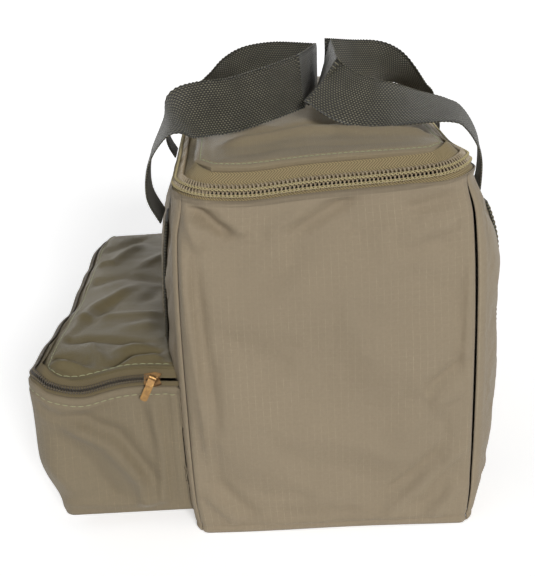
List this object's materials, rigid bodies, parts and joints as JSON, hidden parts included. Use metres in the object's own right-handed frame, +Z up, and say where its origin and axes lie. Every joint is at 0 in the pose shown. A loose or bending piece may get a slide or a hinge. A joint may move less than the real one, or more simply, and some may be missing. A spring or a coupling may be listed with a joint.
{
  "type": "lipo safe bag",
  "caption": "Soft padded charging and storage bag with a zipped lid, a zipped side pocket and webbing carry handles.",
  "frame": {"origin": "centre of the main body's base, on the floor", "axes": "+Z up; +Y along the bag's length, away from the end with the pocket's slider; the pocket is on the -X side"},
  "size_m": [0.3279, 0.3584, 0.3233],
  "materials": {
    "cloth": "coated khaki ripstop",
    "foam": "closed-cell padding",
    "board": "stiff sheet",
    "liner": "fireproof woven inner cloth",
    "zip_tape": "herringbone woven tape",
    "main_coil": "nylon coil, sewn with khaki thread",
    "pocket_coil": "dark nylon coil",
    "webbing": "dark olive woven webbing",
    "brass": "antique brass"
  },
  "bodies": {
    "bag": {"front_panel": "cloth", "back_panel": "cloth", "left_panel": "cloth", "right_panel": "cloth", "base_panel": "cloth", "front_foam": "foam", "back_foam": "foam", "left_foam": "foam", "right_foam": "foam", "base_board": "board", "fire_liner": "liner", "left_handle_anchors": "webbing", "right_handle_anchors": "webbing", "body_zip_tape": "zip_tape", "body_zip_coil": "main_coil", "left_zip_end": "zip_tape", "right_zip_end": "zip_tape", "rear_bevel": "cloth", "rear_top_panel": "cloth", "rear_top_foam": "foam", "rear_top_liner": "liner", "pocket_front_wall": "cloth", "pocket_outer_wall": "cloth", "pocket_rear_wall": "cloth", "pocket_base": "cloth", "pocket_top_strip": "cloth", "pocket_zip_tape": "zip_tape", "pocket_zip_coil": "pocket_coil", "pocket_rear_zip_end": "zip_tape", "pocket_front_zip_end": "zip_tape"},
    "lid": {"lid_panel": "cloth", "lid_foam": "foam", "lid_liner": "liner", "lid_zip_tape": "zip_tape", "lid_zip_coil": "main_coil"},
    "pocket_lid": {"pocket_lid_panel": "cloth", "pocket_lid_zip_tape": "zip_tape", "pocket_lid_zip_coil": "pocket_coil"},
    "left_handle": {"left_handle": "webbing"},
    "right_handle": {"right_handle": "webbing"},
    "main_slider": {"main_slider": "brass"},
    "main_puller": {"main_puller": "brass"},
    "pocket_slider": {"pocket_slider": "brass"},
    "pocket_puller": {"pocket_puller": "brass"}
  },
  "joints": [
    {"name": "lid_hinge", "type": "hinge", "parent": "bag", "child": "lid", "pos_m": [0, 0.123, 0.2702], "axis": [-1, 0, 0], "range_deg": [0, 160], "deforming": ["left_handle", "right_handle"]},
    {"name": "pocket_lid_hinge", "type": "hinge", "parent": "bag", "child": "pocket_lid", "pos_m": [-0.13, 0, 0.1275], "axis": [0, 1, 0], "range_deg": [0, 95], "deforming": ["left_handle"]},
    {"name": "left_handle_swing", "type": "hinge", "parent": "bag", "child": "left_handle", "pos_m": [-0.1108, 0, 0.2161], "axis": [0, -1, 0], "range_deg": [0, 150]},
    {"name": "right_handle_swing", "type": "hinge", "parent": "bag", "child": "right_handle", "pos_m": [0.1108, 0, 0.2161], "axis": [0, 1, 0], "range_deg": [0, 150]},
    {"name": "main_slider_slide", "type": "slide", "parent": "bag", "child": "main_slider", "axis": [0, -1, 0], "range_m": [0, 0.265], "deforming": ["body_zip_coil", "lid_zip_coil", "right_zip_end"]},
    {"name": "main_puller_swing", "type": "hinge", "parent": "main_slider", "child": "main_puller", "pos_m": [0.09919, 0.1345, 0.25829], "axis": [0, -1, 0], "range_deg": [0, 170]},
    {"name": "pocket_slider_slide", "type": "slide", "parent": "bag", "child": "pocket_slider", "axis": [-1, 0, 0], "range_m": [0, 0.052], "deforming": ["pocket_zip_coil", "pocket_lid_zip_coil", "pocket_front_zip_end"]},
    {"name": "pocket_puller_swing", "type": "hinge", "parent": "pocket_slider", "child": "pocket_puller", "pos_m": [-0.121, -0.16659, 0.12168], "axis": [-1, 0, 0], "range_deg": [0, 165]}
  ]
}
